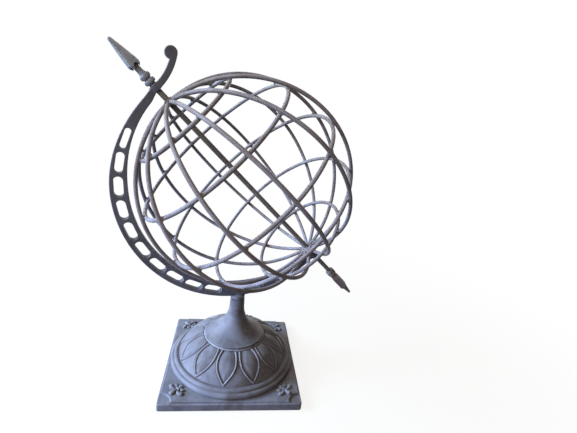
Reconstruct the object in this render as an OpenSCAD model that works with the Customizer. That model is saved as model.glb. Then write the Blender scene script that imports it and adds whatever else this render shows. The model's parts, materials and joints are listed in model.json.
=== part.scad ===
// Armillary sphere on a lotus base: a cage of rods turns on an arrow, which a pierced arm holds at a tilt.
// Millimetres, +Z up. The origin is the middle of the plinth's underside and +X runs along its front edge.

/* [Plinth] */
// Side of the square plinth
plinth_w = 230; // [190:1:280]
// Height of the outer slab
slab_h = 13; // [11:0.5:18]
// Radius of the slab's upright corners
slab_corner_r = 4; // [1:0.5:8]
// Height of the raised panel on the slab
panel_h = 3; // [2:0.5:5]
// Width of the step around the panel
panel_inset = 3; // [2:0.5:6]
// Radius of the hollow bite at each corner of the panel
scallop_r = 18; // [12:0.5:22]
// Depth of the hollow underneath
recess_h = 8; // [5:0.5:10]
// Width of the solid border around the hollow underneath
recess_border = 15; // [10:1:25]
// Radius of the pad that stays solid in the middle of the hollow
pad_r = 22; // [15:1:30]
// Height of the lily relief at each corner
lily_h = 2.4; // [1:0.2:4]
// Bare panel left at each end of a lily
lily_margin = 1.5; // [0.5:0.5:4]

/* [Dome] */
// Bare panel left outside the dome's rim
rim_margin = 4.3; // [4:0.1:10]
// Width of the two rim mouldings together
rim_w = 14.9; // [12:0.1:20]
// Height of the rim above the panel
rim_h = 13.6; // [11:0.2:18]
// Radius of the lower, outer rim moulding
rim_low_r = 5; // [3:0.1:6]
// Radius of the upper, inner rim moulding
rim_high_r = 4.5; // [3:0.1:6]
// Height of the whole dome above the panel
dome_h = 51.8; // [44:0.2:62]
// How far the dome's side bulges beyond a straight cone
dome_bulge = 6; // [3:0.5:9]
// Thickness of the dome's side
dome_wall = 5; // [3.5:0.5:7]
// Thickness of the dome's flat top
dome_plate = 5.8; // [4:0.2:8]
// Radius of the bead around the dome's top
bead_r = 2.2; // [1.5:0.1:3]
// How far the bead stands out from the stem's foot
bead_out = 2.4; // [1.5:0.1:3]
// Number of lotus petals
petal_count = 12; // [8:1:16]
// Angle of the first petal
petal_turn = -98.7; // [-180:0.1:180]
// Height of the raised edge of a petal
petal_rise = 1.2; // [0.6:0.2:2]
// Width of the raised edge of a petal
petal_edge = 2; // [1.4:0.2:3]

/* [Stem] */
// Radius of the stem's foot
stem_foot_r = 52.2; // [44:0.2:58]
// Height of the stem
stem_h = 70.7; // [60:0.1:90]
// Radius of the stem at its top
stem_top_r = 12.4; // [11:0.1:16]
// Radius of the stem where the flare begins
stem_neck_r = 13; // [12.5:0.1:18]
// Radius of the flare's curve
flare_r = 57; // [50:0.5:64]
// Thickness of the hollow flare
stem_wall = 6; // [4:0.5:8]
// Radius of the boss inside the flare
stem_boss_r = 11; // [9:0.5:12]

/* [Arm] */
// Turn of the arm and arrow against the plinth's front edge
arm_turn = 13.66; // [-180:0.01:180]
// Distance from the rods' centre line out to the arm's centre line
arm_reach = 21.5; // [20:0.1:30]
// Width of the arm
arm_w = 24.4; // [18:0.2:28]
// Width of the arm at its two ends
arm_end_w = 11; // [9:0.2:16]
// Thickness of the arm
arm_t = 12; // [11:0.2:16]
// Angle over which the arm tapers to each end
arm_taper = 48; // [30:1:60]
// How far the lower end closes in on the globe
arm_close = 6; // [0:0.1:7]
// Height of the round collar under the arm
foot_h = 6.3; // [5.5:0.1:10]
// Solid rail on each side of a slot where the arm is widest
slot_rail = 5.6; // [4:0.1:7]
// Solid rail on each side of a slot at the arm's ends
slot_end_rail = 3.2; // [2.4:0.1:5]
// Solid bar between two slots
slot_web = 4.7; // [3:0.1:8]
// Angle from one slot to the next
slot_pitch = 10.5; // [9:0.5:14]
// Angle of the first slot, from the arm's level radius
slot_first = 161.5; // [155:0.5:175]
// Number of slot places
slot_places = 14; // [10:1:15]
// Slot place that stays solid over the stem
slot_solid = 10; // [8:1:11]
// Radius of the curve that the hooked end follows
hook_r = 87.5; // [60:0.5:120]
// Angle that the hooked end turns through to the middle of its scroll
hook_sweep = 34.5; // [20:0.5:45]
// How far the hooked end steps out from the arm's centre line
hook_step = 3; // [0:0.1:4]
// Width of the hooked end
hook_w = 8.8; // [8:0.2:12]
// Radius of the round scroll that ends the hook
scroll_r = 8.6; // [7:0.1:11]
// Wall of the two bosses around the arrow's shaft
boss_wall = 4; // [3:0.2:6]
// How far the upper boss stands out from the hooked end
north_boss_out = 0.6; // [0.6:0.1:4]
// How far the upper boss stays behind the arm's inner edge
north_boss_in = 0.5; // [0.2:0.1:2]
// How far the lower boss stands out beyond the arm's centre line
south_boss_out = 8.5; // [6:0.5:12]

/* [Globe] */
// Radius of the rods' centre line
globe_r = 168; // [135:1:205]
// Diameter of the rods from pole to pole
rod_d = 6; // [4.8:0.1:7.4]
// Number of rods from pole to pole
rod_count = 12; // [8:1:12]
// Diameter of the level rings
ring_d = 6; // [4.8:0.1:7.4]
// Turn of the cage on the arrow
cage_turn = 8.5; // [-15:0.5:15]
// Latitude of the two middle rings
tropic_lat = 29.5; // [20:0.5:40]
// Latitude of the two small rings
polar_lat = 58.5; // [50:0.5:70]
// Wall of the upper hub around the shaft
north_hub_wall = 2.5; // [2:0.1:4]
// Half length of the hubs
hub_half = 4.5; // [4:0.1:7]

/* [Arrow] */
// Tilt of the arrow above level
axis_tilt = 42.8; // [30:0.1:60]
// Diameter of the shaft
shaft_d = 8; // [6.5:0.1:10]
// Length of the head, from the arm's boss to the tip
head_l = 73.5; // [60:0.5:90]
// Length of the head's collar and neck
head_neck = 24.5; // [22:0.5:28]
// Width of the head across its blades
head_w = 19; // [16:0.5:24]
// Height of the head's widest place above the start of its blades
head_belly = 12; // [8:0.5:18]
// Turn of the head's blades about the shaft
head_turn = 65; // [0:1:90]
// Length of bare shaft between the lower boss and the tail
tail_gap = 48; // [25:0.5:70]
// Length of the tail
tail_l = 78.5; // [64:0.5:100]
// Length of the tail's collar
tail_neck = 18; // [16:0.5:24]
// Length of the tail's vanes
tail_vane = 44; // [34:0.5:50]
// Width of the tail across its vanes
tail_w = 17; // [14:0.5:22]
// Turn of the tail's vanes about the shaft
tail_turn = 30; // [0:1:90]
// Radius of the collars on the head and the tail
collar_r = 8; // [7:0.1:10]
// Thickness of the blades and vanes
blade_t = 3.2; // [2:0.2:4]
// Depth of the shaft's seat in the head and the tail
shaft_seat = 12; // [9:0.5:15]

/* [Fastenings] */
// Diameter of the pin that the arm turns on
pivot_d = 8; // [6.5:0.1:9.8]
// Depth of the pin in the stem
pivot_down = 30; // [20:1:32]
// Height of the pin in the arm
pivot_up = 20; // [14:1:24]
// Diameter of the bolt that holds the stem
bolt_d = 8; // [6:0.5:10]
// Length of the bolt in the stem
bolt_up = 24; // [16:1:26]
// Diameter of the four screws that hold the dome
screw_d = 5; // [4:0.5:6]
// Length of those screws in the dome
screw_up = 12; // [8:1:16]
// Diameter of the two grub screws
grub_d = 4; // [3:0.5:5]
// Direction of the arm's grub screw, from the arm's level radius
grub_turn = -127; // [-180:1:180]
// How deep the grub screws sit below the face
grub_sink = 0.6; // [0:0.1:1.5]
// Thickness of the two washers
washer_t = 1.6; // [1:0.1:2.5]

/* [Fits] */
// Radial clearance of a pin or shaft in its bore
running_gap = 0.05; // [0.02:0.01:0.1]
// Space between faces that turn on each other
face_gap = 0.1; // [0.05:0.05:0.3]
// Seam between pieces that are brazed together
weld_gap = 0.05; // [0.02:0.01:0.2]
// Radial clearance of a screw or bolt in its hole
screw_gap = 0.1; // [0.05:0.05:0.4]

/* [Hidden] */
$fn = 96;
cut = 0.5; // overshoot of a cutting shape past the face it cuts
shell_dip = 0.8; // depth that a relief reaches into the casting under it
iron = [0.22, 0.23, 0.25];
wrought = [0.36, 0.38, 0.43];
steel = [0.55, 0.56, 0.58];

rod_names = [for (i = [1 : rod_count]) str("meridian_rod_", i < 10 ? "0" : "", i)];
ring_names = [
  "north_polar_ring", "north_tropic_ring", "equator_ring", "south_tropic_ring", "south_polar_ring"
];
ring_lats = [polar_lat, tropic_lat, 0, -tropic_lat, -polar_lat];

// Heights of the base
panel_top = slab_h + panel_h;
dome_top = panel_top + dome_h;
stem_top = dome_top + stem_h;

// Plinth and rim
panel_half = plinth_w / 2 - panel_inset;
rim_r = plinth_w / 2 - rim_margin;
dome_foot = [rim_r - rim_w, panel_top + rim_h];
dome_head = [stem_foot_r + bead_out, dome_top - bead_r];

// The dome's side is the arc through its foot and head that bulges by dome_bulge
dome_chord = norm(dome_head - dome_foot);
dome_arc_r = dome_chord * dome_chord / (8 * dome_bulge) + dome_bulge / 2;
dome_inward = [dome_head.y - dome_foot.y, dome_foot.x - dome_head.x] / -dome_chord;
dome_centre = (dome_foot + dome_head) / 2 + dome_inward * (dome_arc_r - dome_bulge);
hollow_arc_r = dome_arc_r - dome_wall;
hollow_top = min(dome_top - dome_plate, dome_centre.y + hollow_arc_r);
arc_steps = 12;
function arc_angle(p) = atan2(p.y - dome_centre.y, p.x - dome_centre.x);
function dome_arc(r, from, to) =
  [for (i = [0 : arc_steps]) dome_centre + polar(r, from + (to - from) * i / arc_steps)];
screw_boss_wall = 3.5;
screw_boss_r = screw_d / 2 + screw_boss_wall;
screw_ring_r = dome_foot.x - dome_wall - screw_boss_r;

// A lily fills the diagonal between the dome's rim and the panel's bite
lily_from = rim_r + lily_margin;
lily_to = panel_half * sqrt(2) - scallop_r - lily_margin;
lily_l = lily_to - lily_from;

// A petal spans the dome's side from the bead to the rim
petal_inset = 1; // bare dome left at each end of a petal
petal_from = dome_head.x + petal_inset;
petal_to = dome_foot.x - petal_inset;
petal_mid = petal_from + (petal_to - petal_from) / 4;
petal_half_w = petal_mid * tan(180 / petal_count) - petal_edge / 4;
petal_reach = petal_to - petal_mid;
petal_arc_r = (petal_reach * petal_reach / petal_half_w + petal_half_w) / 2;

// The flare is the arc that leaves the neck upright
flare_z = dome_top + flare_r;
flare_x = stem_neck_r + flare_r;

// Arm, in its own plane: angles run from the level radius, through the top, to the upper end and on below
north = 180 - axis_tilt;
south = north + 180;
foot_angle = 270;
arm_r = globe_r + arm_reach;
function ease(x) = let (t = min(max(x, 0), 1)) t * t * (3 - 2 * t);
function polar(r, a) = [r * cos(a), r * sin(a)];
arm_tip = 2; // angle at each end that keeps the end width
close_from = 87; // angle from the upper end where the arm starts to close in
function arm_mid(a) = arm_r - arm_close * ease((a - north - close_from) / (180 - close_from));
function arm_swell(a) = ease((a - north - arm_tip) / arm_taper) * ease((south - arm_tip - a) / arm_taper);
function arm_half(a) = (arm_end_w + (arm_w - arm_end_w) * arm_swell(a)) / 2;
arm_step = 3;
arm_angles = [for (i = [0 : 180 / arm_step]) north + i * arm_step];
slot_angles = [for (i = [0 : slot_places - 1]) if (i != slot_solid) slot_first + i * slot_pitch];
function slot_width(a) = 2 * (arm_half(a) - slot_end_rail - (slot_rail - slot_end_rail) * arm_swell(a));
function slot_length(a) = 2 * arm_mid(a) * sin(slot_pitch / 2) - slot_web;
foot_step = 0.2; // how much smaller the arm's collar is than the stem's top
foot_r = stem_top_r - foot_step;
foot_blend = 3; // height that the collar reaches into the arm
globe_z = stem_top + face_gap + foot_h + arm_mid(foot_angle) + arm_half(foot_angle);

// Hooked end: an arc that bends away from the globe, and a round scroll on its outer side
hook_root = polar(arm_r + hook_step, north);
hook_centre = hook_root + polar(hook_r, north);
hook_from = north + 180;
hook_to = hook_from + hook_sweep;
scroll_centre = hook_centre + polar(hook_r - scroll_r + hook_w / 2, hook_to);

// Places along the arrow, measured from the globe's centre towards the head
shaft_r = shaft_d / 2;
boss_r = shaft_r + boss_wall;
head_seat = arm_r + hook_step + hook_w / 2 + north_boss_out;
north_boss_end = arm_r - arm_end_w / 2 + north_boss_in;
rod_spread = 0.4; // room beyond the radius where neighbouring rods would touch
south_hub_r = rod_d / (2 * sin(180 / rod_count)) + rod_spread;
north_hub_r = shaft_r + north_hub_wall;
washer_top = -globe_r - hub_half - face_gap;
south_boss_top = washer_top - washer_t;
south_boss_end = -arm_mid(south) - south_boss_out;
tail_seat = south_boss_end - tail_gap;
ring_sphere_r = globe_r - rod_d / 2 - ring_d / 2 - weld_gap;

// Frames of the moving pieces

// The arm's plane: x to the right, y up, z towards the viewer, from the globe's centre
module arm_frame() {
  translate([0, 0, globe_z]) rotate([0, 0, arm_turn]) rotate([90, 0, 0]) children();
}

// The arrow's line: z towards the head, from the globe's centre
module axis_frame() {
  translate([0, 0, globe_z]) rotate([0, 0, arm_turn]) rotate([0, axis_tilt - 90, 0]) children();
}

// Shapes that repeat

// Pointed leaf from the origin along +x, as the overlap of two discs
module leaf(length, width) {
  disc_r = (length * length / width + width) / 4;
  intersection() {
    translate([length / 2, disc_r - width / 2]) circle(r = disc_r);
    translate([length / 2, width / 2 - disc_r]) circle(r = disc_r);
  }
}

module round_square(side, r) {
  square([side, side - 2 * r], center = true);
  square([side - 2 * r, side], center = true);
  for (x = [-1, 1], y = [-1, 1]) translate([x, y] * (side / 2 - r)) circle(r = r);
}

module obround(length, width) {
  reach = (length - width) / 2;
  polygon([for (end = [0, 180], a = [-90 : 15 : 90]) polar(width / 2, end + a) + polar(reach, end)]);
}

module washer(outer_r, bore_r, thick) {
  difference() {
    cylinder(r = outer_r, h = thick);
    translate([0, 0, -cut]) cylinder(r = bore_r, h = thick + 2 * cut);
  }
}

// Grub screw along +x from its point to its outer end, with a hexagon socket
module grub_screw(from, to) {
  socket_depth = (to - from) * 0.4;
  rotate([0, 90, 0]) difference() {
    translate([0, 0, from]) cylinder(d = grub_d, h = to - from);
    translate([0, 0, to - socket_depth]) cylinder(d = grub_d * 0.58, h = socket_depth + cut, $fn = 6);
  }
}

// Base

// Lily along the diagonal: a tall leaf and two curled leaves over a band, and two short leaves under it
module lily() {
  band_x = lily_from + 0.36 * lily_l;
  band = [0.1, 0.4] * lily_l;
  curl = [lily_from + 0.66 * lily_l, 0.36 * lily_l];
  translate([band_x, 0]) leaf(0.64 * lily_l, 0.3 * lily_l);
  for (side = [0, 1]) mirror([0, side]) {
    translate([band_x, 0]) rotate(46) leaf(0.48 * lily_l, 0.2 * lily_l);
    translate(curl) circle(r = 0.1 * lily_l);
    translate([band_x, 0]) rotate(156) leaf(0.36 * lily_l, 0.14 * lily_l);
  }
  translate([band_x, 0]) square(band, center = true);
}

module plinth() {
  color(iron) difference() {
    union() {
      linear_extrude(slab_h) round_square(plinth_w, slab_corner_r);
      linear_extrude(panel_top) difference() {
        square(2 * panel_half, center = true);
        for (x = [-1, 1], y = [-1, 1]) translate([x, y] * panel_half) circle(r = scallop_r);
      }
      for (a = [45 : 90 : 315]) rotate(a) translate([0, 0, panel_top - shell_dip])
        linear_extrude(lily_h + shell_dip) lily();
    }
    translate([0, 0, -cut]) difference() {
      cylinder(r = plinth_w / 2 - recess_border, h = recess_h + cut);
      cylinder(r = pad_r, h = recess_h + 2 * cut);
    }
    for (a = [0 : 90 : 270]) rotate(a) translate([screw_ring_r, 0, 0])
      cylinder(d = screw_d + 2 * screw_gap, h = panel_top + cut);
  }
}

// Right half of the dome's solid outline
module dome_outline() {
  polygon(concat(
    [[0, panel_top], [dome_foot.x, panel_top]],
    dome_arc(dome_arc_r, arc_angle(dome_foot), arc_angle(dome_head)),
    [[dome_head.x - bead_r, dome_top], [0, dome_top]]
  ));
  translate([0, panel_top]) square([rim_r - rim_low_r, rim_h - rim_high_r]);
  intersection() {
    translate([rim_r - rim_low_r, panel_top + rim_low_r * 0.8]) circle(r = rim_low_r);
    translate([0, panel_top]) square([plinth_w, dome_h]);
  }
  translate([dome_foot.x + rim_high_r, dome_foot.y - rim_high_r]) circle(r = rim_high_r);
  translate([dome_head.x - bead_r, dome_head.y]) circle(r = bead_r);
}

// Right half of the dome's hollow
module dome_hollow() {
  from = asin((panel_top - cut - dome_centre.y) / hollow_arc_r);
  to = asin((hollow_top - dome_centre.y) / hollow_arc_r);
  polygon(concat(
    [[0, panel_top - cut]],
    dome_arc(hollow_arc_r, from, to),
    [[0, hollow_top]]
  ));
}

module petal_edges() {
  intersection() {
    rotate_extrude() polygon(concat(
      dome_arc(dome_arc_r - shell_dip, arc_angle(dome_head), arc_angle(dome_foot)),
      dome_arc(dome_arc_r + petal_rise, arc_angle(dome_foot), arc_angle(dome_head))
    ));
    for (i = [0 : petal_count - 1]) rotate(petal_turn + i * 360 / petal_count)
      linear_extrude(dome_top + dome_h) difference() {
        petal_leaf(0);
        petal_leaf(petal_edge);
      }
  }
}

// Petal plan as the overlap of two discs, cut square at the bead
module petal_leaf(inset) {
  intersection() {
    translate([petal_mid, petal_arc_r - petal_half_w]) circle(r = petal_arc_r - inset);
    translate([petal_mid, petal_half_w - petal_arc_r]) circle(r = petal_arc_r - inset);
    translate([petal_from + inset, -petal_to]) square(2 * petal_to);
  }
}

module petal_dome() {
  color(iron) union() {
    difference() {
      rotate_extrude() dome_outline();
      difference() {
        rotate_extrude() dome_hollow();
        for (a = [0 : 90 : 270]) rotate(a) translate([screw_ring_r, 0, 0])
          cylinder(r = screw_boss_r, h = dome_top);
      }
      for (a = [0 : 90 : 270]) rotate(a) translate([screw_ring_r, 0, panel_top - cut])
        cylinder(d = screw_d + 2 * screw_gap, h = screw_up + 2 * cut);
      translate([0, 0, hollow_top - cut])
        cylinder(d = bolt_d + 2 * screw_gap, h = dome_top - hollow_top + 2 * cut);
    }
    petal_edges();
  }
}

module plinth_screws() {
  head_r = screw_d * 0.95;
  head_h = screw_d * 0.7;
  color(steel) for (a = [0 : 90 : 270]) rotate(a) translate([screw_ring_r, 0, 0]) difference() {
    union() {
      translate([0, 0, recess_h - head_h]) cylinder(r = head_r, h = head_h);
      translate([0, 0, recess_h]) cylinder(d = screw_d, h = panel_top - recess_h + screw_up);
    }
    translate([0, 0, recess_h - head_h - cut]) cylinder(d = screw_d * 0.6, h = head_h * 0.6 + cut, $fn = 6);
  }
}

module stem() {
  bore_down = pivot_down + 1;
  color(iron) difference() {
    rotate_extrude() difference() {
      union() {
        difference() {
          translate([0, dome_top]) square([stem_foot_r, flare_r]);
          translate([flare_x, flare_z]) circle(r = flare_r);
        }
        polygon([[0, flare_z], [stem_neck_r, flare_z], [stem_top_r, stem_top], [0, stem_top]]);
      }
      difference() {
        translate([stem_boss_r, dome_top - cut]) square([stem_foot_r, flare_r / 2]);
        translate([flare_x, flare_z]) circle(r = flare_r + stem_wall);
      }
    }
    translate([0, 0, stem_top - bore_down]) cylinder(d = pivot_d + 2 * running_gap, h = bore_down + cut);
    translate([0, 0, dome_top - cut]) cylinder(d = bolt_d + 2 * screw_gap, h = bolt_up + 2 * cut);
  }
}

module stem_bolt() {
  head_h = bolt_d * 0.68;
  head_d = bolt_d * 1.85;
  shank_z = hollow_top - washer_t;
  color(steel) {
    translate([0, 0, shank_z - head_h]) cylinder(d = head_d, h = head_h, $fn = 6);
    translate([0, 0, shank_z]) cylinder(d = bolt_d, h = dome_top - shank_z + bolt_up);
  }
}

module stem_washer() {
  color(steel) translate([0, 0, hollow_top - washer_t])
    washer(bolt_d * 1.15, bolt_d / 2 + screw_gap, washer_t);
}

module arm_pivot() {
  color(steel) translate([0, 0, stem_top - pivot_down]) cylinder(d = pivot_d, h = pivot_down + pivot_up);
}

// Arm

module arm_outline() {
  polygon(concat(
    [for (a = arm_angles) polar(arm_mid(a) + arm_half(a), a)],
    [for (i = [len(arm_angles) - 1 : -1 : 0]) let (a = arm_angles[i]) polar(arm_mid(a) - arm_half(a), a)]
  ));
}

module arm_hook() {
  step = hook_sweep / 6;
  root = hook_from - 2;
  bend = [for (i = [0 : 6]) hook_from + i * step];
  polygon(concat(
    [hook_centre + polar(hook_r + hook_w / 2, root)],
    [for (a = bend) hook_centre + polar(hook_r + hook_w / 2, a)],
    [for (i = [6 : -1 : 0]) hook_centre + polar(hook_r - hook_w / 2, bend[i])],
    [hook_centre + polar(hook_r - hook_w / 2, root)]
  ));
  translate(scroll_centre) circle(r = scroll_r);
}

module arm() {
  bore_up = pivot_up + 0.5;
  color(iron) difference() {
    union() {
      arm_frame() linear_extrude(arm_t, center = true) difference() {
        union() {
          arm_outline();
          arm_hook();
        }
        for (a = slot_angles) rotate(a) translate([arm_mid(a), 0]) rotate(90)
          obround(slot_length(a), slot_width(a));
      }
      translate([0, 0, stem_top + face_gap]) cylinder(r = foot_r, h = foot_h + foot_blend);
      axis_frame() {
        translate([0, 0, north_boss_end]) cylinder(r = boss_r, h = head_seat - north_boss_end);
        translate([0, 0, south_boss_end]) cylinder(r = boss_r, h = south_boss_top - south_boss_end);
      }
    }
    axis_frame() for (z = [north_boss_end - arm_w, south_boss_end - arm_w])
      translate([0, 0, z]) cylinder(r = shaft_r + screw_gap, h = 3 * arm_w);
    translate([0, 0, stem_top]) cylinder(d = pivot_d + 2 * running_gap, h = bore_up);
    grub_place() rotate([0, 90, 0]) cylinder(d = grub_d + 2 * screw_gap, h = stem_top_r * 2);
    shaft_grub_place() rotate([0, 90, 0]) cylinder(d = grub_d + 2 * screw_gap, h = boss_r * 2);
  }
}

// The arm's grub screw points at the pivot pin, the shaft's at the shaft, both along +x
module grub_place() {
  translate([0, 0, stem_top + face_gap + foot_h / 2]) rotate(arm_turn + grub_turn) children();
}

module shaft_grub_place() {
  axis_frame() translate([0, 0, (south_boss_top + south_boss_end) / 2]) rotate(90) children();
}

module arm_grub_screw() {
  color(steel) grub_place() grub_screw(pivot_d / 2 + running_gap + face_gap, foot_r - grub_sink);
}

module shaft_grub_screw() {
  color(steel) shaft_grub_place() grub_screw(shaft_r + face_gap, boss_r - grub_sink);
}

// Arrow

module arrow_shaft() {
  shaft_from = tail_seat - shaft_seat;
  shaft_to = head_seat + shaft_seat;
  color(wrought) axis_frame() translate([0, 0, shaft_from]) cylinder(r = shaft_r, h = shaft_to - shaft_from);
}

// Half width of a head blade at a height from its base: a round shoulder, then a long taper
function blade_half(z, length) = head_w / 2 * (z < head_belly
  ? sqrt(1 - pow(1 - z / head_belly, 2))
  : 1 - pow((z - head_belly) / (length - head_belly), 1.5));

// Half width of a tail vane at a share of its length: nearly straight, with a round corner at its end
vane_root = 0.88; // width of the root against the full width
vane_wide = 0.3; // share of the length where the vane is at its full width
vane_end = 0.85; // share of the length where the round corner begins
function vane_half(s) = tail_w / 2 * (vane_root + (1 - vane_root) * ease(s / vane_wide))
  * sqrt(1 - pow(max(s - vane_end, 0) / (1 - vane_end), 2));

module crossed_plates(outline, turn) {
  for (a = [0, 90]) rotate(turn + a) rotate([90, 0, 0]) linear_extrude(blade_t, center = true)
    polygon(concat(
      outline,
      [for (i = [len(outline) - 1 : -1 : 0]) if (outline[i].x > 0.001) [-outline[i].x, outline[i].y]]
    ));
}

// Half outline of a rounded collar ring on the arrow
module collar_ring(ring_r, z) {
  intersection() {
    translate([collar_r - ring_r, z]) circle(r = ring_r);
    translate([0, z - ring_r]) square([collar_r, 2 * ring_r]);
  }
}

module shaft_socket() {
  translate([0, 0, -cut]) cylinder(r = shaft_r + screw_gap, h = shaft_seat + 1 + cut);
}

module arrow_head() {
  ring_r = 4.5;
  core_r = 5.4;
  blade_l = head_l - head_neck;
  steps = 18;
  outline = [for (i = [0 : steps]) let (z = blade_l * i / steps) [blade_half(z, blade_l), head_neck + z]];
  color(iron) axis_frame() translate([0, 0, head_seat]) difference() {
    union() {
      rotate_extrude() {
        square([core_r, head_neck]);
        for (z = [ring_r, 3 * ring_r]) collar_ring(ring_r, z);
        polygon([[0, head_neck], [core_r, head_neck], [1, head_l - 3], [0, head_l - 3]]);
      }
      crossed_plates(outline, head_turn);
    }
    shaft_socket();
  }
}

module arrow_tail() {
  ring_r = 4.2;
  core_r = 5.2;
  tip_r = 1.6;
  vane_from = tail_neck - ring_r;
  vane_to = vane_from + tail_vane;
  steps = 15;
  outline = concat(
    [[0, vane_from]],
    [for (i = [0 : steps - 1]) [vane_half(i / steps), vane_from + tail_vane * i / steps]],
    [[0, vane_to]]
  );
  color(iron) axis_frame() translate([0, 0, tail_seat]) mirror([0, 0, 1]) difference() {
    union() {
      rotate_extrude() {
        for (z = [ring_r, 2 * ring_r]) collar_ring(ring_r, z);
        polygon([[0, 0], [core_r, 0], [core_r, vane_to - ring_r], [tip_r, tail_l], [0, tail_l]]);
      }
      crossed_plates(outline, tail_turn);
    }
    shaft_socket();
  }
}

module thrust_washer() {
  color(steel) axis_frame() translate([0, 0, south_boss_top]) washer(boss_r, shaft_r + running_gap, washer_t);
}

// Globe

module north_hub() {
  color(wrought) axis_frame() translate([0, 0, globe_r - hub_half])
    washer(north_hub_r, shaft_r + running_gap, 2 * hub_half);
}

module south_hub() {
  color(wrought) axis_frame() translate([0, 0, -globe_r - hub_half])
    washer(south_hub_r, shaft_r + running_gap, 2 * hub_half);
}

// Half a hoop from the lower hub to the upper one, where its end is ground to a wedge between its neighbours
module meridian_rod(i) {
  wedge = 180 / rod_count;
  start = asin((south_hub_r + weld_gap) / (globe_r - rod_d / 2));
  color(wrought) axis_frame() rotate(cage_turn + (i - 1) * 2 * wedge) difference() {
    rotate([90, 0, 0]) rotate(start - 90) rotate_extrude(angle = 180 - start - 1) translate([globe_r, 0])
      circle(d = rod_d, $fn = 48);
    translate([0, 0, globe_r - 4 * rod_d]) {
      cylinder(r = north_hub_r + weld_gap, h = 6 * rod_d);
      for (side = [0, 1]) mirror([0, side, 0]) rotate(wedge) translate([-rod_d, -weld_gap, 0])
        cube([6, 4, 6] * rod_d);
    }
  }
}

module level_ring(lat) {
  color(wrought) axis_frame() translate([0, 0, ring_sphere_r * sin(lat)])
    rotate_extrude() translate([ring_sphere_r * cos(lat), 0]) circle(d = ring_d, $fn = 48);
}

plinth();
petal_dome();
stem();
stem_bolt();
stem_washer();
plinth_screws();
arm_pivot();
arm();
arm_grub_screw();
arrow_shaft();
arrow_head();
arrow_tail();
shaft_grub_screw();
thrust_washer();
north_hub();
south_hub();
for (i = [1 : rod_count]) meridian_rod(i);
for (i = [0 : 4]) level_ring(ring_lats[i]);
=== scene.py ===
"""Looks of the armillary sphere.

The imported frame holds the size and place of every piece. Here the castings get their relief and rounded
edges, the bars their hand-bent unevenness and welds, and every surface its finish. Lengths are in millimetres
unless a line says otherwise.
"""
import json
import math

import bmesh
import bpy
import numpy as np
from mathutils import Euler, Matrix, Vector
from mathutils.geometry import delaunay_2d_cdt


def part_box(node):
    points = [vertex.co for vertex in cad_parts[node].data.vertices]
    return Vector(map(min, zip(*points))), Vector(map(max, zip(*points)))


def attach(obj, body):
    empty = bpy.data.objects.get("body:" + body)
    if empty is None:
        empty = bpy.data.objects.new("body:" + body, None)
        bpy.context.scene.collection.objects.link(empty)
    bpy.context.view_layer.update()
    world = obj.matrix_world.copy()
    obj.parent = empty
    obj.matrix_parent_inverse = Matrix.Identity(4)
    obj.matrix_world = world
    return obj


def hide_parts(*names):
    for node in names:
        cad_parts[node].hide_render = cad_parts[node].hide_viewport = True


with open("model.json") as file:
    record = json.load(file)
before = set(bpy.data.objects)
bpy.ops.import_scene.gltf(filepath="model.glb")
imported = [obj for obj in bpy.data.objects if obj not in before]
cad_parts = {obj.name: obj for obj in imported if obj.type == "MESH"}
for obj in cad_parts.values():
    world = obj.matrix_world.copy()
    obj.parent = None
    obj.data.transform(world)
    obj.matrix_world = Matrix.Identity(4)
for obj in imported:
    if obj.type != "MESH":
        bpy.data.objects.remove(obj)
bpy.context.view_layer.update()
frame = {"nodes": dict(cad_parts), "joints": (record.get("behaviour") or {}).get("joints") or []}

# Places and directions, from the frame

MM = 0.001
TURN = 2 * math.pi
spin = next(joint for joint in frame["joints"] if joint["name"] == "globe_spin")
globe = np.array(spin["pos_m"]) / MM
north = np.array(spin["axis"])
up = np.array((0.0, 0.0, 1.0))
behind = np.cross(north, up) / np.linalg.norm(np.cross(north, up))
east = np.cross(behind, north)
level = np.cross(behind, up)


def on_arrow(points):
    """Points given across the arrow and along it towards its head, from the globe's centre."""
    return globe + np.asarray(points) @ np.array((east, behind, north))


def on_arm(points):
    """Points given in the arm's plane, as right, up and towards the viewer, from the globe's centre."""
    return globe + np.asarray(points) @ np.array((level, up, -behind))


def upright(points):
    """Points given from the middle of the plinth's underside."""
    return np.asarray(points)


def node_points(node):
    """All the points of a CAD node."""
    mesh = frame["nodes"][node].data
    flat = np.empty(3 * len(mesh.vertices))
    mesh.vertices.foreach_get("co", flat)
    return flat.reshape(-1, 3) / MM


def along_arrow(node):
    """The lowest and highest place of a node along the arrow."""
    places = (node_points(node) - globe) @ north
    return places.min(), places.max()


def half_width(node):
    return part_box(node)[1].x / MM


def lowest(node):
    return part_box(node)[0].z / MM


def highest(node):
    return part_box(node)[1].z / MM


# Curves and loops


def ease(x):
    t = np.clip(x, 0, 1)
    return t * t * (3 - 2 * t)


def polar(radius, degrees):
    angle = np.radians(degrees)
    return np.stack((radius * np.cos(angle), radius * np.sin(angle)), axis=-1)


def arc(centre, radius, start, end, count):
    """Points of an arc, angles in degrees."""
    return np.asarray(centre) + polar(radius, np.linspace(start, end, count))


def full_turn(count):
    return np.linspace(0, TURN, count, endpoint=False)


def around_axis(radius, angle, height):
    """Points about the z axis, in as many rows and columns as the three values make together."""
    radius, angle, height = np.broadcast_arrays(radius, angle, height)
    return np.stack((radius * np.cos(angle), radius * np.sin(angle), height), axis=-1)


def inset(loop, depth):
    """A closed loop moved into the material, which lies on its left."""
    ahead = np.roll(loop, -1, 0) - loop
    ahead /= np.linalg.norm(ahead, axis=1, keepdims=True)
    left = np.column_stack((-ahead[:, 1], ahead[:, 0]))
    before = np.roll(left, 1, 0)
    mitre = (left + before) / (1 + (left * before).sum(1, keepdims=True))
    return loop + depth * mitre


def at_height(loop, height):
    return np.column_stack((loop, np.full(len(loop), height)))


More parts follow.
